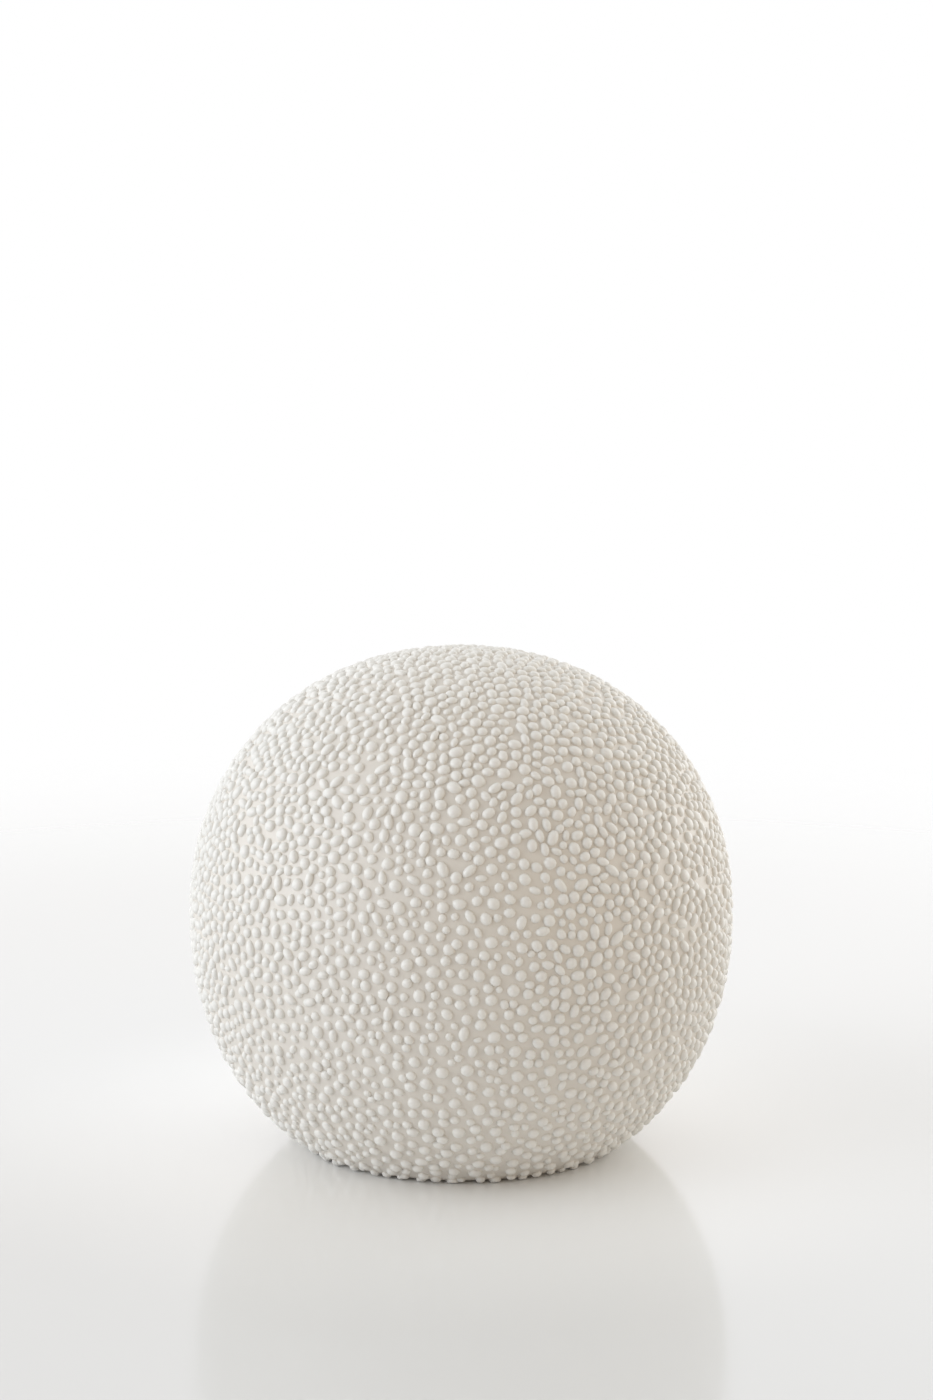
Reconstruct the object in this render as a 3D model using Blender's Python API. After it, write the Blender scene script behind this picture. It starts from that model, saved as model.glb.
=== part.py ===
"""A decorative ceramic ball: a hollow, slightly squat shell with a flat foot, beaded all over with slip dots.

Metres, +Z up. The origin is the centre of the foot, so the ball stands on the plane z = 0.
The plain wall under the dots is a body of revolution about Z. Its crown and its belly are two curves
of the superellipse family, which meet at the waist. The dots are small raised studs on it, scattered
at random with plain wall between them.
"""

import math

import bmesh
import bpy
import numpy as np
from mathutils import Vector

# The plain body, under the dots
WAIST_RADIUS = 0.0737
WAIST_HEIGHT = 0.0645
CROWN_RISE = 0.0719
CROWN_FULLNESS = 2.11
BELLY_DROP = 0.0757
BELLY_FULLNESS = 2.16

# The flat foot and the soft edge round it
FOOT_EDGE_RISE = 0.0012
FOOT_EDGE_STEPS = 2
FOOT_SIDES = 60

# The hollow, and the vent that lets steam and air out in the kiln
WALL = 0.006
FOOT_WALL = 0.007
VENT_RADIUS = 0.006
HOLLOW_SIDES = 24
CROWN_STEPS = 6
BELLY_STEPS = 5
CUTTER_OVERRUN = 0.002

# The dots that are trailed on in slip
DOT_COUNT = 1080
DOT_CORNERS = 4
DOT_RADIUS_LEAST = 0.0022
DOT_RADIUS_MOST = 0.0027
DOT_REACH_RATIO = 0.4
DOT_HEIGHT_LEAST = 0.00115
DOT_HEIGHT_MOST = 0.0013
MISSES_TO_HALVE_SPACING = 35000
SEED = 27

GLAZE_COLOUR = (0.76, 0.72, 0.65, 1.0)
GLAZE_ROUGHNESS = 0.42


def clear_scene():
    for old in list(bpy.data.objects):
        bpy.data.objects.remove(old)


def curve_of(height):
    """Semi-height and fullness of the curve that holds at a height above or below the waist."""
    if height >= 0.0:
        return CROWN_RISE, CROWN_FULLNESS
    return BELLY_DROP, BELLY_FULLNESS


def radius_at(z, inset=0.0):
    """Radius of the plain body at height z, or of the hollow inside it when an inset is given."""
    height = z - WAIST_HEIGHT
    rise, fullness = curve_of(height)
    share = min(abs(height) / (rise - inset), 1.0)
    return (WAIST_RADIUS - inset) * (1.0 - share**fullness) ** (1.0 / fullness)


def waist_middle():
    return Vector((0.0, 0.0, WAIST_HEIGHT))


def on_body(direction):
    """Where a ray from the middle of the waist leaves the plain body."""
    rise, fullness = curve_of(direction.z)
    across = math.hypot(direction.x, direction.y) / WAIST_RADIUS
    along = abs(direction.z) / rise
    reach = (across**fullness + along**fullness) ** (-1.0 / fullness)
    return waist_middle() + direction * reach


def outward(point):
    """Unit normal of the plain body at a point of its surface."""
    height = point.z - WAIST_HEIGHT
    rise, fullness = curve_of(height)
    across = math.hypot(point.x, point.y)
    pull = (across / WAIST_RADIUS) ** (fullness - 1.0) / WAIST_RADIUS
    lift = math.copysign((abs(height) / rise) ** (fullness - 1.0) / rise, height)
    return Vector((pull * point.x / across, pull * point.y / across, lift)).normalized()


def scatter_dots():
    """Middles of the dots on the plain body: random, and kept apart by a spacing that eases with each miss."""
    random = np.random.RandomState(SEED)
    lowest = FOOT_EDGE_RISE + DOT_RADIUS_MOST
    widest_even_spacing = WAIST_RADIUS * math.sqrt(8.0 * math.pi / math.sqrt(3.0) / DOT_COUNT)
    spacing = widest_even_spacing
    ease = 0.5 ** (1.0 / MISSES_TO_HALVE_SPACING)
    placed = np.empty((DOT_COUNT, 3))
    count = 0
    while count < DOT_COUNT:
        level = random.uniform(-1.0, 1.0)
        turn = random.uniform(0.0, 2.0 * math.pi)
        flat = math.sqrt(1.0 - level * level)
        point = on_body(Vector((flat * math.cos(turn), flat * math.sin(turn), level)))
        if point.z < lowest:
            continue
        gaps = placed[:count] - np.array(point)
        if count and np.min(np.einsum("ij,ij->i", gaps, gaps)) < spacing * spacing:
            spacing *= ease
            continue
        placed[count] = point
        count += 1
    return [Vector(p) for p in placed], random


def dot_points(middle, radius, height, turn):
    """The peak of one dot, and then the corners of its base on the plain body."""
    up = outward(middle)
    across = up.cross(Vector((0.0, 0.0, 1.0))).normalized()
    along = up.cross(across)
    points = [middle + up * height]
    for i in range(DOT_CORNERS):
        angle = turn + 2.0 * math.pi * i / DOT_CORNERS
        corner = middle + (across * math.cos(angle) + along * math.sin(angle)) * radius
        points.append(on_body((corner - waist_middle()).normalized()))
    return points


def ring(radius, z, sides):
    turns = [2.0 * math.pi * i / sides for i in range(sides)]
    return [Vector((radius * math.cos(t), radius * math.sin(t), z)) for t in turns]


def neighbours(points):
    """The triangles that join each point of a bulging surface to its nearest neighbours."""
    mesh = bmesh.new()
    for index, point in enumerate(points):
        mesh.verts.new((point - waist_middle()).normalized()).index = index
    bmesh.ops.convex_hull(mesh, input=mesh.verts, use_existing_faces=False)
    found = [tuple(v.index for v in face.verts) for face in mesh.faces]
    mesh.free()
    return found


def all_dot_points():
    """Every dot's peak and corners in turn. A dot reaches less far where its nearest neighbour is close."""
    middles, random = scatter_dots()
    points = []
    for middle in middles:
        size = random.uniform()
        apart = sorted((other - middle).length for other in middles)[1]
        radius = DOT_RADIUS_LEAST + (DOT_RADIUS_MOST - DOT_RADIUS_LEAST) * size
        height = DOT_HEIGHT_LEAST + (DOT_HEIGHT_MOST - DOT_HEIGHT_LEAST) * size
        turn = random.uniform(0.0, math.pi)
        points += dot_points(middle, min(radius, DOT_REACH_RATIO * apart), height, turn)
    return points


def crease_dots(mesh, end_of_dots):
    """Keeps the edge round each dot's base crisp, so that the dot reads as a bead on the smooth wall."""
    mesh.verts.index_update()
    stride = 1 + DOT_CORNERS
    for edge in mesh.edges:
        a, b = sorted(vert.index for vert in edge.verts)
        if b < end_of_dots and a // stride == b // stride and a % stride:
            edge.smooth = False


def beaded_skin(mesh, rim):
    """The dots and the plain wall between them, open at the rim above the foot."""
    points = all_dot_points()
    end_of_dots = len(points)
    points += rim
    verts = [mesh.verts.new(point) for point in points]
    for triangle in neighbours(points):
        if min(triangle) < end_of_dots:
            mesh.faces.new([verts[i] for i in triangle])
    crease_dots(mesh, end_of_dots)


def close_foot(mesh, rim_radius):
    """Carries the open edge down a soft curve to the table, and closes it with the flat foot."""
    slope = (radius_at(FOOT_EDGE_RISE) - radius_at(0.0)) / FOOT_EDGE_RISE
    corner_radius = rim_radius - slope * FOOT_EDGE_RISE
    foot_radius = corner_radius - (rim_radius - corner_radius)
    edges = [e for e in mesh.edges if e.is_boundary]
    now = rim_radius
    for step in range(1, FOOT_EDGE_STEPS + 1):
        t = step / FOOT_EDGE_STEPS
        radius = (
            (1.0 - t) ** 2 * rim_radius
            + 2.0 * t * (1.0 - t) * corner_radius
            + t * t * foot_radius
        )
        z = (1.0 - t) ** 2 * FOOT_EDGE_RISE
        new = bmesh.ops.extrude_edge_only(mesh, edges=edges)["geom"]
        edges = [g for g in new if isinstance(g, bmesh.types.BMEdge)]
        for vert in {v for e in edges for v in e.verts}:
            vert.co.x *= radius / now
            vert.co.y *= radius / now
            vert.co.z = z
        now = radius
    bmesh.ops.edgeloop_fill(mesh, edges=edges)
    for edge in edges:
        edge.smooth = False


def make_object(name, mesh):
    data = bpy.data.meshes.new(name)
    mesh.to_mesh(data)
    mesh.free()
    made = bpy.data.objects.new(name, data)
    bpy.context.scene.collection.objects.link(made)
    return made


def beaded_body():
    """The ball as it looks from outside, still solid."""
    rim_radius = radius_at(FOOT_EDGE_RISE)
    mesh = bmesh.new()
    beaded_skin(mesh, ring(rim_radius, FOOT_EDGE_RISE, FOOT_SIDES))
    close_foot(mesh, rim_radius)
    bmesh.ops.recalc_face_normals(mesh, faces=mesh.faces)
    bmesh.ops.triangulate(mesh, faces=mesh.faces)
    return make_object("beaded_ball", mesh)


def hollow_profile():
    """Half outline of the hollow and its vent, from the top down to below the foot, in the XZ plane."""
    crown, belly = CROWN_RISE - WALL, WAIST_HEIGHT - FOOT_WALL
    outline = []
    for step in range(CROWN_STEPS + 1):
        angle = 0.5 * math.pi * (1.0 - step / CROWN_STEPS)
        z = WAIST_HEIGHT + crown * math.sin(angle)
        outline.append((radius_at(z, WALL) if step else 0.0, z))
    for step in range(1, BELLY_STEPS + 1):
        z = WAIST_HEIGHT - belly * math.sin(0.5 * math.pi * step / BELLY_STEPS)
        outline.append((radius_at(z, WALL), z))
    outline.append((VENT_RADIUS, FOOT_WALL))
    outline.append((VENT_RADIUS, -CUTTER_OVERRUN))
    outline.append((0.0, -CUTTER_OVERRUN))
    return [Vector((radius, 0.0, z)) for radius, z in outline]


def hollow_cutter():
    """What is taken out of the solid ball: the hollow, and the vent that opens it through the foot."""
    mesh = bmesh.new()
    verts = [mesh.verts.new(point) for point in hollow_profile()]
    edges = [mesh.edges.new(pair) for pair in zip(verts, verts[1:])]
    bmesh.ops.spin(
        mesh,
        geom=verts + edges,
        cent=(0.0, 0.0, 0.0),
        axis=(0.0, 0.0, 1.0),
        angle=2.0 * math.pi,
        steps=HOLLOW_SIDES,
        use_merge=True,
    )
    bmesh.ops.remove_doubles(mesh, verts=mesh.verts, dist=0.00001)
    bmesh.ops.recalc_face_normals(mesh, faces=mesh.faces)
    cutter = make_object("hollow_cutter", mesh)
    cutter.hide_render = True
    cutter.display_type = "WIRE"
    return cutter


def glaze():
    material = bpy.data.materials.new("satin_glaze")
    material.use_nodes = True
    shader = material.node_tree.nodes["Principled BSDF"]
    shader.inputs["Base Color"].default_value = GLAZE_COLOUR
    shader.inputs["Roughness"].default_value = GLAZE_ROUGHNESS
    shader.inputs["Metallic"].default_value = 0.0
    return material


def main():
    clear_scene()
    ball = beaded_body()
    hollow = ball.modifiers.new("hollow", "BOOLEAN")
    hollow.operation = "DIFFERENCE"
    hollow.solver = "EXACT"
    hollow.object = hollow_cutter()
    ball.data.materials.append(glaze())
    for face in ball.data.polygons:
        face.use_smooth = True


main()
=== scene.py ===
import math

import bpy
import numpy as np
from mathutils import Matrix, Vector
from mathutils.kdtree import KDTree


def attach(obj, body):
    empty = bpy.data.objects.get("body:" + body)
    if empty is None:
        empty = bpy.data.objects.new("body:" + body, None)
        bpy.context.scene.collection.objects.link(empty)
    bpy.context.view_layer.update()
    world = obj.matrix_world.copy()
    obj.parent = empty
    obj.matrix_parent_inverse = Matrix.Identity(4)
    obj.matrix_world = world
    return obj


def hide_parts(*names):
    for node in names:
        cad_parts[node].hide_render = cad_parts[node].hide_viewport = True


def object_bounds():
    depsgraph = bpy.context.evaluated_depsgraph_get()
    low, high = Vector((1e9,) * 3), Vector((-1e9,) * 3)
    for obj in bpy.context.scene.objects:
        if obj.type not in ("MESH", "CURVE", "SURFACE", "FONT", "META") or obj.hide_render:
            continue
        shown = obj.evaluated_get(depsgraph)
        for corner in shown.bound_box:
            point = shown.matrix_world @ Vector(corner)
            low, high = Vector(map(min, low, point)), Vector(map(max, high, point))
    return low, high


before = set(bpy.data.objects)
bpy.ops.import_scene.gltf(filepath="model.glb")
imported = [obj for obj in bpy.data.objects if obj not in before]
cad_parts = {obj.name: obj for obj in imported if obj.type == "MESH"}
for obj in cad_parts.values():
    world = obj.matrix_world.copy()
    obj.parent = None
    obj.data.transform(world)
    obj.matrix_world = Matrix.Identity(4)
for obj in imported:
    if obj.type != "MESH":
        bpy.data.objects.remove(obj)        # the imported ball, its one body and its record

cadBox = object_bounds()     # the solid ball's own box, which the dressed one stays inside
bpy.ops.object.select_all(action="DESELECT")


def modelledFrom(name, points, faces):
    mesh = bpy.data.meshes.new(name)
    mesh.from_pydata(points, [], faces)
    piece = bpy.data.objects.new(name, mesh)
    bpy.context.scene.collection.objects.link(piece)
    return piece


def pickOnly(piece):
    bpy.ops.object.select_all(action="DESELECT")
    piece.select_set(True)
    bpy.context.view_layer.objects.active = piece


# the plain wall under the dots: one curve for the crown and one for the belly, turned about Z
wall = {
    "waistRadius": 0.0737,
    "waistHeight": 0.0645,
    "crownRise": 0.0719,
    "crownFullness": 2.11,
    "bellyDrop": 0.0757,
    "bellyFullness": 2.16,
    "footEdgeRise": 0.0012,     # height of the soft edge round the foot
    "glazeEnds": 0.0003,        # the glaze is wiped off under this height
    "thickness": 0.006,
    "footThickness": 0.007,
    "ventRadius": 0.006,
    "ventEdge": 0.0006,         # rounding of the vent's mouth
    "ventEdgeMiddle": 0.3,      # where the rounding's middle lies, as a share of it
    "bareRoundVent": 1.2,       # in vent radii
    "sides": 180,
    "crownSteps": 44,
    "bellySteps": 40,
    "footSteps": 5,
    "insideSteps": 14,
    "weldWithin": 0.000005,
    "smoothUnder": 40.0,        # degrees
}
waistMiddle = np.array((0.0, 0.0, wall["waistHeight"]))


def onWall(directions):
    # where rays from the middle of the waist leave the wall
    up = directions[:, 2] >= 0.0
    rise = np.where(up, wall["crownRise"], wall["bellyDrop"])
    fullness = np.where(up, wall["crownFullness"], wall["bellyFullness"])
    across = np.hypot(directions[:, 0], directions[:, 1]) / wall["waistRadius"]
    along = np.abs(directions[:, 2]) / rise
    reach = (across**fullness + along**fullness) ** (-1.0 / fullness)
    return waistMiddle + directions * reach[:, None]


def outwardFrom(points):
    # the wall's unit normals at points of its surface
    height = points[:, 2] - wall["waistHeight"]
    up = height >= 0.0
    rise = np.where(up, wall["crownRise"], wall["bellyDrop"])
    fullness = np.where(up, wall["crownFullness"], wall["bellyFullness"])
    across = np.maximum(np.hypot(points[:, 0], points[:, 1]), 1e-9)
    pull = (across / wall["waistRadius"]) ** (fullness - 1.0) / wall["waistRadius"]
    lift = np.sign(height) * (np.abs(height) / rise) ** (fullness - 1.0) / rise
    normals = np.stack((pull * points[:, 0] / across, pull * points[:, 1] / across, lift), axis=1)
    return unit(normals)


def unit(vectors):
    return vectors / np.linalg.norm(vectors, axis=1)[:, None]


def wallRadius(z, inset=0.0):
    height = z - wall["waistHeight"]
    rise = wall["crownRise"] if height >= 0.0 else wall["bellyDrop"]
    fullness = wall["crownFullness"] if height >= 0.0 else wall["bellyFullness"]
    share = min(abs(height) / (rise - inset), 1.0)
    return (wall["waistRadius"] - inset) * (1.0 - share**fullness) ** (1.0 / fullness)


def wallProfile():
    # half outline in the XZ plane: crown, belly, soft foot edge, foot, vent, and the hollow up to its crown
    rimRadius = wallRadius(wall["footEdgeRise"])
    lowest = math.atan2(wall["footEdgeRise"] - wall["waistHeight"], rimRadius)
    turns = list(np.linspace(0.5 * math.pi, 0.0, wall["crownSteps"] + 1))
    turns += list(np.linspace(0.0, lowest, wall["bellySteps"] + 1)[1:])
    ways = np.array([(math.cos(t), 0.0, math.sin(t)) for t in turns])
    outline = [(p[0], p[2]) for p in onWall(ways)]
    outline[0] = (0.0, outline[0][1])

    cornerRadius = wallRadius(0.0)
    footRadius = 2.0 * cornerRadius - rimRadius
    for step in range(1, wall["footSteps"] + 1):
        t = step / wall["footSteps"]
        radius = (1 - t) ** 2 * rimRadius + 2 * t * (1 - t) * cornerRadius + t * t * footRadius
        outline.append((radius, (1 - t) ** 2 * wall["footEdgeRise"]))
    vent, edge = wall["ventRadius"], wall["ventEdge"]
    outline.append((0.5 * (footRadius + vent), 0.0))
    outline.append((vent + edge, 0.0))
    outline.append((vent + wall["ventEdgeMiddle"] * edge, wall["ventEdgeMiddle"] * edge))
    outline.append((vent, edge))
    outline.append((vent, wall["footThickness"]))

    inset = wall["thickness"]
    belly = wall["waistHeight"] - wall["footThickness"]
    crown = wall["crownRise"] - inset
    for step in range(wall["insideSteps"] + 1):
        z = wall["waistHeight"] - belly * math.cos(0.5 * math.pi * step / wall["insideSteps"])
        outline.append((wallRadius(z, inset), z))
    for step in range(1, wall["insideSteps"] + 1):
        z = wall["waistHeight"] + crown * math.sin(0.5 * math.pi * step / wall["insideSteps"])
        outline.append((wallRadius(z, inset), z))
    outline[-1] = (0.0, outline[-1][1])
    return outline


def turnWall():
    # the half outline is drawn point by point and spun about Z
    outline = wallProfile()
    bpy.ops.object.select_all(action="DESELECT")
    bpy.ops.mesh.primitive_plane_add(size=0.01, location=(0.0, 0.0, 0.0))
    piece = bpy.context.active_object
    piece.name = "ball_wall"
    bpy.ops.object.mode_set(mode="EDIT")
    bpy.ops.mesh.select_mode(type="VERT")
    bpy.ops.mesh.select_all(action="SELECT")
    bpy.ops.mesh.merge(type="CENTER")
    bpy.ops.transform.translate(value=(outline[0][0], 0.0, outline[0][1]))
    for (lastRadius, lastZ), (radius, z) in zip(outline, outline[1:]):
        bpy.ops.mesh.extrude_vertices_move(
            TRANSFORM_OT_translate={"value": (radius - lastRadius, 0.0, z - lastZ)}
        )
    bpy.ops.mesh.select_all(action="SELECT")
    bpy.ops.mesh.spin(
        steps=wall["sides"], angle=2.0 * math.pi, center=(0.0, 0.0, 0.0), axis=(0.0, 0.0, 1.0)
    )
    bpy.ops.mesh.select_all(action="SELECT")
    bpy.ops.mesh.remove_doubles(threshold=wall["weldWithin"])
    bpy.ops.mesh.normals_make_consistent(inside=False)
    bpy.ops.object.mode_set(mode="OBJECT")
    bpy.ops.object.shade_smooth_by_angle(angle=math.radians(wall["smoothUnder"]))
    return piece


# one dot of slip, in shares of its own radius and height, which every dot is a copy of
dot = {
    "sides": 12,
    "domeAngles": (38.0, 66.0),         # degrees from the dot's peak, round its dome
    "domeFullness": 0.85,
    "foot": (1.01, 0.10),               # where the dome meets its flare: radius share, height share
    "flare": 1.09,                      # how far the glaze runs out round the dot
    "sunk": 0.00004,                    # metres that the flare's edge lies under the wall's surface
    "smoothUnder": 60.0,                # degrees
}


def modelDot():
    bpy.ops.object.select_all(action="DESELECT")
    full = dot["domeFullness"]
    angles = [math.radians(a) for a in dot["domeAngles"]]
    rings = [(math.sin(a) ** full, math.cos(a) ** full) for a in angles]
    rings += [dot["foot"], (dot["flare"], 0.0)]
    bpy.ops.mesh.primitive_circle_add(
        vertices=dot["sides"], radius=rings[0][0], fill_type="TRIFAN", location=(0.0, 0.0, 0.0)
    )
    piece = bpy.context.active_object
    piece.name = "one_dot"
    for corner in piece.data.vertices:
        atPeak = math.hypot(corner.co.x, corner.co.y) < 0.5 * rings[0][0]
        corner.co.z = 1.0 if atPeak else rings[0][1]
    bpy.ops.object.mode_set(mode="EDIT")
    bpy.ops.mesh.select_all(action="SELECT")
    bpy.ops.mesh.region_to_loop()
    for (lastRadius, lastHeight), (radius, height) in zip(rings, rings[1:]):
        bpy.ops.mesh.extrude_edges_move(
            TRANSFORM_OT_translate={"value": (0.0, 0.0, height - lastHeight)}
        )
        grow = radius / lastRadius
        bpy.ops.transform.resize(value=(grow, grow, 1.0), center_override=(0.0, 0.0, 0.0))
    bpy.ops.mesh.edge_face_add()
    bpy.ops.mesh.select_all(action="SELECT")
    bpy.ops.mesh.normals_make_consistent(inside=False)
    bpy.ops.object.mode_set(mode="OBJECT")
    return piece


# how the dots are strewn
dots = {
    "seed": 41,
    "count": 5250,
    "largest": (0.00140, 0.00166),     # radii of the dots at the solid ball's own studs
    "smaller": (0.00086, 0.00156),     # radii of the dots between them
    "usual": 0.6,                      # where most of the smaller ones lie between those two
    "inDensePatches": 1.12,            # how much larger they are where they lie dense
    "nearFoot": 1.13,                  # and near the foot, where they lie thinnest
    "heightShare": 0.76,               # height over radius
    "heightVaries": (0.9, 1.08),
    "highest": 0.00118,
    "gap": (0.00030, 0.00190),         # bare wall between two dots, where they lie dense and where thin
    "thinness": 0.42,                  # on the whole: 0 is dense and 1 is thin
    "thinnest": 1.35,
    "thinBelow": (-0.10, 0.60, 0.80),  # thinner towards the foot: from where, over how far, by how much
    "denseAbove": (0.10, 0.35, 0.34),  # and denser towards the crown
    "thinBand": (0.07, 0.40, 0.55),    # the thin band down the front: middle, half width, top
    "thinBandEdge": 1.4,               # how sharply it ends at its sides
    "thinBandFade": 0.3,               # over how far it fades out at its top
    "thinBandBy": 0.42,
    "patches": 4.0,                    # how many thin and dense patches go round the ball
    "patchWaves": 7,
    "patchDepth": 0.09,
    "settling": 44,                    # rounds in which crowded dots shove each other apart
    "shove": 0.45,                     # share of the overlap that each of the two gives way in a round
    "longestShove": 0.0008,
    "pairs": 0.035,                    # share of the dots that run into a neighbour
    "pairsApart": 0.93,                # how far apart those two are, as a share of both radii
    "ovals": (0.60, 0.02),             # share drawn out longer than wide, in dense and in thin patches
    "ovalLength": (1.15, 1.75),        # length over width
    "roundLength": (0.95, 1.08),       # the same of the others
    "lumpy": 0.045,
    "lean": 0.06,
    "clearOfTable": 0.0002,
}
throw = {                              # the first rough throw, before the dots settle
    "triesPerDot": 60,
    "missThin": 0.5,                   # share of the tries that miss where the dots lie thin
    "aboveFootEdge": 0.0005,
    "apart": 0.0040,                   # least distance between two dots in the first batch
    "closer": 0.97,                    # and how that shrinks from batch to batch
    "batches": 3,                      # parts of the wanted dots that are thrown at once
}
settledAboveFootEdge = 0.0004          # settling keeps the dots' middles this far over the foot's soft edge
studHeight = 0.0008                    # what rises more than this above the wall is a stud of the solid
zones = {                              # heights, in metres, between which a piece of the dots lies
    "dots_foot": (0.0, 0.024),
    "dots_belly": (0.024, 0.050),
    "dots_waist": (0.050, 0.076),
    "dots_shoulder": (0.076, 0.101),
    "dots_crown": (0.101, 0.122),
    "dots_top": (0.122, 1.0),
}


def studPeaks():
    # where the solid ball's studs stand, read from its mesh
    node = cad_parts["beaded_ball"]
    points = np.array([v.co for v in node.data.vertices])
    points = np.unique(np.round(points, 6), axis=0)
    fromMiddle = points - waistMiddle
    under = onWall(unit(fromMiddle)) - waistMiddle
    above = np.linalg.norm(fromMiddle, axis=1) - np.linalg.norm(under, axis=1)
    return onWall(unit(fromMiddle[above > studHeight]))


def thinness(points, waves):
    # 0 where the dots lie dense and 1 where they lie thin, in soft patches
    ways = unit(points - waistMiddle)
    value = np.full(len(points), dots["thinness"])
    for axis, phase in waves:
        value += dots["patchDepth"] * np.sin(dots["patches"] * (ways @ axis) + phase)
    start, over, rise = dots["thinBelow"]
    value += rise * np.clip((start - ways[:, 2]) / over, 0.0, 1.0)
    start, over, fall = dots["denseAbove"]
    value -= fall * np.clip((ways[:, 2] - start) / over, 0.0, 1.0)
    middle, half, top = dots["thinBand"]
    edge = dots["thinBandEdge"]
    band = np.clip(edge - edge * np.abs(ways[:, 0] - middle) / half, 0.0, 1.0)
    band *= np.clip((top - ways[:, 2]) / dots["thinBandFade"], 0.0, 1.0) * (ways[:, 1] < 0.0)
    return np.clip(value + dots["thinBandBy"] * band, 0.0, dots["thinnest"])


def randomOnWall(random, count):
    level = random.uniform(-1.0, 1.0, count)
    turn = random.uniform(0.0, 2.0 * math.pi, count)
    flat = np.sqrt(1.0 - level * level)
    return onWall(np.stack((flat * np.cos(turn), flat * np.sin(turn), level), axis=1))


def treeOf(places):
    tree = KDTree(len(places))
    for index, place in enumerate(places):
        tree.insert(place, index)
    tree.balance()
    return tree


def nearPairs(places, reach):
    tree = treeOf(places)
    found = [
        (index, other)
        for index, place in enumerate(places)
        for _, other, _ in tree.find_range(place, reach)
        if index < other
    ]
    return np.array(found)


def strewDots():
    random = np.random.RandomState(dots["seed"])
    waves = [
        (unit(random.normal(size=(1, 3)))[0], random.uniform(0.0, 2.0 * math.pi))
        for _ in range(dots["patchWaves"])
    ]
    studs = studPeaks()
    wanted = dots["count"] - len(studs)
    tries = randomOnWall(random, throw["triesPerDot"] * wanted)
    keep = random.uniform(size=len(tries)) > throw["missThin"] * thinness(tries, waves)
    tries = tries[keep & (tries[:, 2] > wall["footEdgeRise"] + throw["aboveFootEdge"])]
    atOnce = wanted // throw["batches"]
    places = studs
    apart = throw["apart"]
    while len(places) < dots["count"]:
        batch, tries = tries[:atOnce], tries[atOnce:]
        tree = treeOf(places)
        batch = np.array([p for p in batch if tree.find(p)[2] > apart]).reshape(-1, 3)
        batch = batch[: dots["count"] - len(places)]
        places = np.vstack([places, batch])
        apart *= throw["closer"]

    free = np.arange(len(places)) >= len(studs)
    low, high = dots["smaller"]
    usual = (1.0 - dots["usual"]) * low + dots["usual"] * high
    radii = random.triangular(low, usual, high, len(places))
    radii[~free] = random.uniform(*dots["largest"], len(studs))
    reach = 2.0 * dots["largest"][1] + dots["gap"][1]
    for _ in range(dots["settling"]):
        thin = thinness(places, waves)
        gap = dots["gap"][0] + (dots["gap"][1] - dots["gap"][0]) * thin
        larger = (dots["inDensePatches"], 1.0, dots["nearFoot"])
        size = radii * np.interp(thin, (0.0, 1.0, dots["thinnest"]), larger)
        a, b = nearPairs(places, reach).T
        between = places[a] - places[b]
        far = np.maximum(np.linalg.norm(between, axis=1), 1e-6)
        crowded = np.maximum(size[a] + size[b] + 0.5 * (gap[a] + gap[b]) - far, 0.0)
        shove = between / far[:, None] * crowded[:, None] * dots["shove"]
        move = np.zeros_like(places)
        np.add.at(move, a, shove * np.where(free[b], 1.0, 2.0)[:, None])
        np.add.at(move, b, -shove * np.where(free[a], 1.0, 2.0)[:, None])
        tooLong = np.maximum(np.linalg.norm(move, axis=1) / dots["longestShove"], 1.0)
        places = places + move * free[:, None] / tooLong[:, None]
        places = onWall(unit(places - waistMiddle))
        places[:, 2] = np.maximum(places[:, 2], wall["footEdgeRise"] + settledAboveFootEdge)
    return onWall(unit(places - waistMiddle)), size, thinness(places, waves), free, random


def joinPairs(places, radii, free, random):
    # a few dots are set against their nearest neighbour, so that the slip ran together
    tree = treeOf(places)
    joined = set()
    for index in random.permutation(np.flatnonzero(free)):
        if len(joined) >= 2.0 * dots["pairs"] * len(places):
            break
        near = tree.find_n(places[index], 2)[1][1]
        if index in joined or near in joined:
            continue
        joined.update((index, near))
        between = places[index] - places[near]
        touching = dots["pairsApart"] * (radii[index] + radii[near])
        places[index] = places[near] + between / np.linalg.norm(between) * touching
    return onWall(unit(places - waistMiddle))


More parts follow.
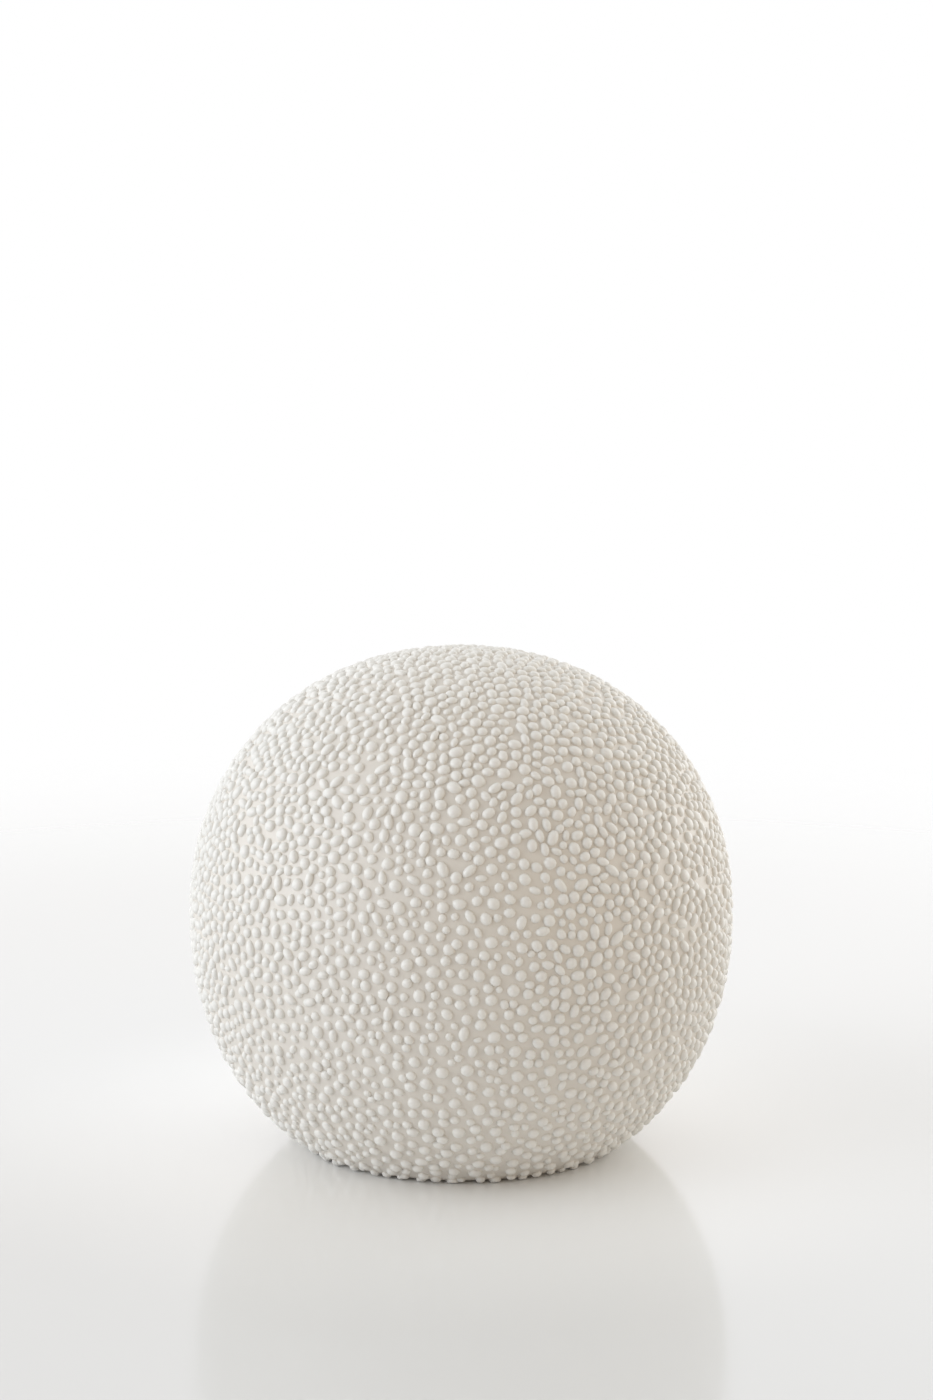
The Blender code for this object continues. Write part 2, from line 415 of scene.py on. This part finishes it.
def zonePiece(name, master, places, radii, thin, random):
    unitPoints = np.array([v.co for v in master.data.vertices])
    unitFaces = [tuple(f.vertices) for f in master.data.polygons]
    count, corners = len(places), len(unitPoints)
    normals = outwardFrom(places)
    level = unit(np.cross(normals, (0.0, 0.0, 1.0)))
    slope = np.cross(normals, level)

    halfSide = math.pi / dot["sides"]                     # an oval's ends are blunt, not pointed
    angle = np.arctan2(unitPoints[:, 1], unitPoints[:, 0])[None, :] + halfSide
    spread = np.hypot(unitPoints[:, 0], unitPoints[:, 1])[None, :]
    lumps = np.ones((count, corners))
    for waves in (2, 3, 4):
        size = random.normal(0.0, dots["lumpy"] / (waves - 1), count)[:, None]
        lumps += size * np.cos(waves * angle - random.uniform(0.0, 2.0 * math.pi, count)[:, None])
    inDense, inThin = dots["ovals"]
    likely = inDense + (inThin - inDense) * np.minimum(thin, 1.0)
    drawn = np.where(
        random.uniform(size=count) < likely,
        random.uniform(*dots["ovalLength"], count),
        random.uniform(*dots["roundLength"], count),
    )
    along = spread * lumps * np.cos(angle) * radii[:, None] * np.sqrt(drawn)[:, None]
    across = spread * lumps * np.sin(angle) * radii[:, None] / np.sqrt(drawn)[:, None]
    turn = random.uniform(0.0, math.pi, count)[:, None]
    heights = dots["heightShare"] * radii * random.uniform(*dots["heightVaries"], count)
    heights = np.minimum(heights, dots["highest"])
    lean = random.normal(0.0, dots["lean"], (2, count))[:, :, None]
    lean = lean * radii[None, :, None] * unitPoints[None, None, :, 2]
    x = along * np.cos(turn) - across * np.sin(turn) + lean[0]
    y = along * np.sin(turn) + across * np.cos(turn) + lean[1]
    z = heights[:, None] * unitPoints[None, :, 2] - dot["sunk"] * (unitPoints[None, :, 2] <= 0.0)

    flat = places[:, None, :] + x[..., None] * level[:, None, :] + y[..., None] * slope[:, None, :]
    flat = flat.reshape(-1, 3)
    points = onWall(unit(flat - waistMiddle)) + np.repeat(normals, corners, axis=0) * z.reshape(-1, 1)
    low, high = (np.array(corner) for corner in cadBox)
    points = np.clip(points, low, high)
    points[:, 2] = np.maximum(points[:, 2], dots["clearOfTable"])
    faces = [tuple(i + corners * n for i in face) for n in range(count) for face in unitFaces]
    piece = modelledFrom(name, points.tolist(), faces)
    # each corner's share of its dot's height: the mask that paints the dots' tops lighter, partly for their
    # lighter slip and partly as painted light
    slipAndLitCrest = piece.data.attributes.new("slipAndLitCrest", "FLOAT", "POINT")
    slipAndLitCrest.data.foreach_set("value", np.tile(unitPoints[:, 2], count).astype(np.float32))
    pickOnly(piece)
    bpy.ops.object.shade_smooth_by_angle(angle=math.radians(dot["smoothUnder"]))
    return piece


def feed(tree, socket, value):
    # the value is another node's output, a number or a colour
    if hasattr(value, "is_output"):
        tree.links.new(value, socket)
    else:
        socket.default_value = value


def mixedFloat(tree, a, b, share):
    node = tree.nodes.new("ShaderNodeMix")
    node.data_type = "FLOAT"
    feed(tree, node.inputs[2], a)
    feed(tree, node.inputs[3], b)
    tree.links.new(share, node.inputs[0])
    return node.outputs[0]


def mixedColour(tree, a, b, share):
    node = tree.nodes.new("ShaderNodeMix")
    node.data_type = "RGBA"
    feed(tree, node.inputs[6], a)
    feed(tree, node.inputs[7], b)
    tree.links.new(share, node.inputs[0])
    return node.outputs[2]


def fadedBetween(tree, value, clear, whole):
    # 0 where the value is at clear, and 1 where it is at whole
    node = tree.nodes.new("ShaderNodeMapRange")
    node.interpolation_type = "SMOOTHSTEP"
    node.inputs["From Min"].default_value = clear
    node.inputs["From Max"].default_value = whole
    tree.links.new(value, node.inputs["Value"])
    return node.outputs["Result"]


def mathOf(tree, operation, first, second):
    node = tree.nodes.new("ShaderNodeMath")
    node.operation = operation
    feed(tree, node.inputs[0], first)
    feed(tree, node.inputs[1], second)
    return node.outputs[0]


def firedSurfaceGroup():
    # what the kiln does to every surface: soft cloudy tone, a fine orange peel and a few iron specks
    tree = bpy.data.node_groups.new("fired surface", "ShaderNodeTree")
    for name, kind, value in (
        ("Clouds", "NodeSocketFloat", 22.0),
        ("Grain", "NodeSocketFloat", 900.0),
        ("Speck Size", "NodeSocketFloat", 260.0),
        ("Specks", "NodeSocketFloat", 0.1),
    ):
        socket = tree.interface.new_socket(name=name, in_out="INPUT", socket_type=kind)
        socket.default_value = value
    for name in ("Cloud", "Peel", "Speck"):
        tree.interface.new_socket(name=name, in_out="OUTPUT", socket_type="NodeSocketFloat")
    given = tree.nodes.new("NodeGroupInput")
    made = tree.nodes.new("NodeGroupOutput")
    coordinates = tree.nodes.new("ShaderNodeTexCoord")
    for scale, output, detail in (("Clouds", "Cloud", 3.0), ("Grain", "Peel", 2.0)):
        noise = tree.nodes.new("ShaderNodeTexNoise")
        noise.inputs["Detail"].default_value = detail
        tree.links.new(coordinates.outputs["Object"], noise.inputs["Vector"])
        tree.links.new(given.outputs[scale], noise.inputs["Scale"])
        tree.links.new(noise.outputs[0], made.inputs[output])
    cells = tree.nodes.new("ShaderNodeTexVoronoi")
    tree.links.new(coordinates.outputs["Object"], cells.inputs["Vector"])
    tree.links.new(given.outputs["Speck Size"], cells.inputs["Scale"])
    near = mathOf(tree, "LESS_THAN", cells.outputs["Distance"], given.outputs["Specks"])
    tree.links.new(near, made.inputs["Speck"])
    return tree


def colour(red, green, blue):
    # a colour written as the 0-255 values of a screen
    linear = []
    for value in (red, green, blue):
        share = value / 255
        linear.append(((share + 0.055) / 1.055) ** 2.4 if value > 10 else share / 12.92)
    return (*linear, 1.0)


glaze = {
    "pooledAndShaded": colour(218, 212, 203),    # where the glaze lies thick, low between the dots: partly its own tone, partly painted shade
    "thin": colour(223, 218, 210),      # cloudy lighter patches of the wall
    "slipAndLitCrest": colour(231, 229, 224),     # over the tops of the dots: partly their lighter slip, partly a painted highlight
    "slipAndLitCrestFrom": (0.05, 0.40),          # where that tone begins and is whole, up a dot's height
    "rough": (0.34, 0.46),
    "peelDepth": 0.00002,
    "peelStrength": 0.6,
}
clay = {
    "speck": colour(176, 164, 146),
    "light": colour(214, 203, 186),
    "dark": colour(194, 180, 160),
    "rough": (0.75, 0.9),
    "grainDepth": 0.00006,
    "surface": {"Clouds": 60.0, "Grain": 1600.0, "Specks": 0.16},
}


def newMaterial(name):
    material = bpy.data.materials.new(name)
    material.use_nodes = True
    return material, material.node_tree, material.node_tree.nodes["Principled BSDF"]


def addBump(tree, shader, height, depth, strength=1.0):
    bump = tree.nodes.new("ShaderNodeBump")
    bump.inputs["Distance"].default_value = depth
    bump.inputs["Strength"].default_value = strength
    tree.links.new(height, bump.inputs["Height"])
    tree.links.new(bump.outputs["Normal"], shader.inputs["Normal"])


def glazeMaterial(group):
    material, tree, shader = newMaterial("satin glaze")
    fired = tree.nodes.new("ShaderNodeGroup")
    fired.node_tree = group
    # the wall and the dots' feet take the darker tone and the dots' tops the lighter one: partly real
    # tones, partly painted shade low down and a painted highlight on top
    slipAndLitCrest = tree.nodes.new("ShaderNodeAttribute")
    slipAndLitCrest.attribute_name = "slipAndLitCrest"
    tone = mixedColour(tree, glaze["pooledAndShaded"], glaze["thin"], fired.outputs["Cloud"])
    slipAndLitShare = fadedBetween(tree, slipAndLitCrest.outputs["Fac"], *glaze["slipAndLitCrestFrom"])
    tone = mixedColour(tree, tone, glaze["slipAndLitCrest"], slipAndLitShare)
    tree.links.new(tone, shader.inputs["Base Color"])
    tree.links.new(mixedFloat(tree, *glaze["rough"], fired.outputs["Cloud"]), shader.inputs["Roughness"])
    addBump(tree, shader, fired.outputs["Peel"], glaze["peelDepth"], glaze["peelStrength"])
    return material


def clayMaterial(group):
    material, tree, shader = newMaterial("bare clay")
    fired = tree.nodes.new("ShaderNodeGroup")
    fired.node_tree = group
    for name, value in clay["surface"].items():
        fired.inputs[name].default_value = value
    tone = mixedColour(tree, clay["dark"], clay["light"], fired.outputs["Cloud"])
    tone = mixedColour(tree, tone, clay["speck"], fired.outputs["Speck"])
    tree.links.new(tone, shader.inputs["Base Color"])
    tree.links.new(mixedFloat(tree, *clay["rough"], fired.outputs["Peel"]), shader.inputs["Roughness"])
    addBump(tree, shader, fired.outputs["Peel"], clay["grainDepth"])
    return material


def dressWall(piece, glazed, bare):
    # the foot, the vent and the hollow are bare clay, the rest is glazed
    piece.data.materials.append(glazed)
    piece.data.materials.append(bare)
    for face in piece.data.polygons:
        middle = np.array(face.center)
        inward = np.dot(np.array(face.normal), middle - waistMiddle) < 0.0
        onFoot = middle[2] < wall["glazeEnds"]
        fromAxis = math.hypot(middle[0], middle[1])
        inVent = fromAxis < wall["bareRoundVent"] * wall["ventRadius"] and middle[2] < wall["waistHeight"]
        face.material_index = 1 if inward or onFoot or inVent else 0


# the camera looks down a little on the ball, which stands low in the frame
view = {
    "elevation": 13.0,          # degrees, from the ball's waist up to the lens
    "distance": 0.892,
    "lens": 83.0,
    "sensor": 36.0,             # mm along the frame's long side
    "frameHeight": 1400.0,      # px
    "below": 209.8,             # px from the frame's middle down to the waist's middle
    "left": 5.4,                # px from the ball's axis to the frame's middle
}


def placeCamera():
    data = bpy.data.cameras.new("camera")
    data.sensor_fit = "VERTICAL"
    data.sensor_height = view["sensor"]
    data.lens = view["lens"]
    camera = bpy.data.objects.new("camera", data)
    bpy.context.scene.collection.objects.link(camera)
    rise = math.radians(view["elevation"])
    focal = view["lens"] / view["sensor"] * view["frameHeight"]
    camera.location = (
        0.0,
        -view["distance"] * math.cos(rise),
        wall["waistHeight"] + view["distance"] * math.sin(rise),
    )
    tilt = rise - math.atan(view["below"] / focal)
    camera.rotation_euler = (0.5 * math.pi - tilt, 0.0, -math.atan(view["left"] / focal))
    bpy.context.scene.camera = camera


# a pale glossy table that melts into a white backdrop, and soft light from all round
studio = {
    "tableColour": colour(231, 231, 230),
    "tablePaintedLight": colour(248, 248, 247),   # paler round the foot: painted light, which lightens the ball's shadow on the table
    "paintedLightReach": (0.045, 0.16),           # from where to where that painted light fades out
    "tableFrontShade": colour(221, 221, 220),  # a little darker towards the front: painted shade
    "frontShadeFrom": (-0.02, -0.20),
    "tableRough": 0.12,
    "tableIor": 1.6,
    "tableRadius": 0.62,
    "tableSides": 96,
    "tableBelow": 0.00002,                # how far the table's top lies under the foot
    "fadeFrom": 0.28,                     # where the table begins to fade into the white
    "bareUnderFoot": 0.0397,              # the table is left out under the foot, which shows from below
    "lights": {                           # where each comes from, how narrow it is, its colour and strength
        "window": ((-0.92, -0.38, 0.25), 7.0, (3.18, 3.30, 3.48)),
        "left behind": ((-0.90, 0.30, 0.30), 6.0, (1.04, 1.04, 1.04)),
        "right behind": ((0.85, 0.45, 0.20), 6.0, (2.42, 2.52, 2.60)),
        "behind": ((0.0, 1.0, 0.0), 2.0, (1.17, 1.15, 1.16)),
        "right front": ((0.72, -0.68, 0.10), 5.0, (1.28, 1.08, 0.85)),
        "above": ((0.0, 0.0, 1.0), 2.0, (0.62, 0.62, 0.60)),
        "under the foot": ((0.0, 0.0, -1.0), 3.0, (1.20, 1.20, 1.18)),
    },
    "backdrop": (1.0, 1.0, 1.0, 1.0),
}


def layTable():
    bpy.ops.object.select_all(action="DESELECT")
    bpy.ops.mesh.primitive_circle_add(
        vertices=studio["tableSides"],
        radius=studio["tableRadius"],
        fill_type="NGON",
        location=(0.0, 0.0, -studio["tableBelow"]),
    )
    table = bpy.context.active_object
    table.name = "table"
    bpy.ops.object.transform_apply(location=True, rotation=True, scale=True)
    material, tree, shader = newMaterial("glossy table")
    shader.inputs["Roughness"].default_value = studio["tableRough"]
    shader.inputs["IOR"].default_value = studio["tableIor"]
    coordinates = tree.nodes.new("ShaderNodeTexCoord")
    length = tree.nodes.new("ShaderNodeVectorMath")
    length.operation = "LENGTH"
    tree.links.new(coordinates.outputs["Object"], length.inputs[0])
    away = length.outputs["Value"]
    parts = tree.nodes.new("ShaderNodeSeparateXYZ")
    tree.links.new(coordinates.outputs["Object"], parts.inputs[0])
    # painted shade: the table is darker towards the front
    front = fadedBetween(tree, parts.outputs["Y"], *studio["frontShadeFrom"])
    tone = mixedColour(tree, studio["tableColour"], studio["tableFrontShade"], front)
    # painted light: the table is paler round the foot, so the ball's shadow there is lighter and more light
    # is thrown back up onto the ball
    near = fadedBetween(tree, away, *studio["paintedLightReach"])
    tree.links.new(mixedColour(tree, studio["tablePaintedLight"], tone, near), shader.inputs["Base Color"])
    there = fadedBetween(tree, away, studio["tableRadius"], studio["fadeFrom"])
    there = mathOf(tree, "MULTIPLY", there, mathOf(tree, "GREATER_THAN", away, studio["bareUnderFoot"]))
    below = tree.nodes.new("ShaderNodeNewGeometry").outputs["Backfacing"]
    there = mathOf(tree, "MULTIPLY", there, mathOf(tree, "SUBTRACT", 1.0, below))
    tree.links.new(there, shader.inputs["Alpha"])
    table.data.materials.append(material)


def softLight():
    world = bpy.data.worlds.new("soft studio")
    world.use_nodes = True
    tree = world.node_tree
    shader = tree.nodes["Background"]
    coordinates = tree.nodes.new("ShaderNodeTexCoord")
    total = None
    for way, narrow, strength in studio["lights"].values():
        along = tree.nodes.new("ShaderNodeVectorMath")
        along.operation = "DOT_PRODUCT"
        along.inputs[1].default_value = Vector(way).normalized()
        tree.links.new(coordinates.outputs["Generated"], along.inputs[0])
        facing = mathOf(tree, "MAXIMUM", along.outputs["Value"], 0.0)
        tinted = tree.nodes.new("ShaderNodeVectorMath")
        tinted.operation = "SCALE"
        tinted.inputs[0].default_value = strength
        tree.links.new(mathOf(tree, "POWER", facing, narrow), tinted.inputs["Scale"])
        if total is None:
            total = tinted.outputs[0]
        else:
            added = tree.nodes.new("ShaderNodeVectorMath")
            tree.links.new(total, added.inputs[0])
            tree.links.new(tinted.outputs[0], added.inputs[1])
            total = added.outputs[0]
    seen = tree.nodes.new("ShaderNodeLightPath").outputs["Is Camera Ray"]
    tree.links.new(mixedColour(tree, total, studio["backdrop"], seen), shader.inputs["Color"])
    bpy.context.scene.world = world


bpy.context.scene.view_settings.view_transform = "Standard"
placeCamera()
layTable()
softLight()
print("camera, table and light are in place")

fired = firedSurfaceGroup()
satinGlaze = glazeMaterial(fired)
bareClay = clayMaterial(fired)
ballWall = turnWall()
dressWall(ballWall, satinGlaze, bareClay)
print("the wall is turned:", len(ballWall.data.polygons), "faces")

oneDot = modelDot()
places, radii, thin, free, strewing = strewDots()
places = joinPairs(places, radii, free, strewing)
print("dots:", len(places), "mean radius mm", round(1000 * float(radii.mean()), 3))
pieces = [ballWall]
for name, (low, high) in zones.items():
    here = (places[:, 2] >= low) & (places[:, 2] < high)
    piece = zonePiece(name, oneDot, places[here], radii[here], thin[here], strewing)
    piece.data.materials.append(satinGlaze)
    pieces.append(piece)
    print(name, int(here.sum()), "dots")
bpy.data.objects.remove(oneDot)

for piece in pieces:
    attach(piece, "root")
    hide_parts("beaded_ball")
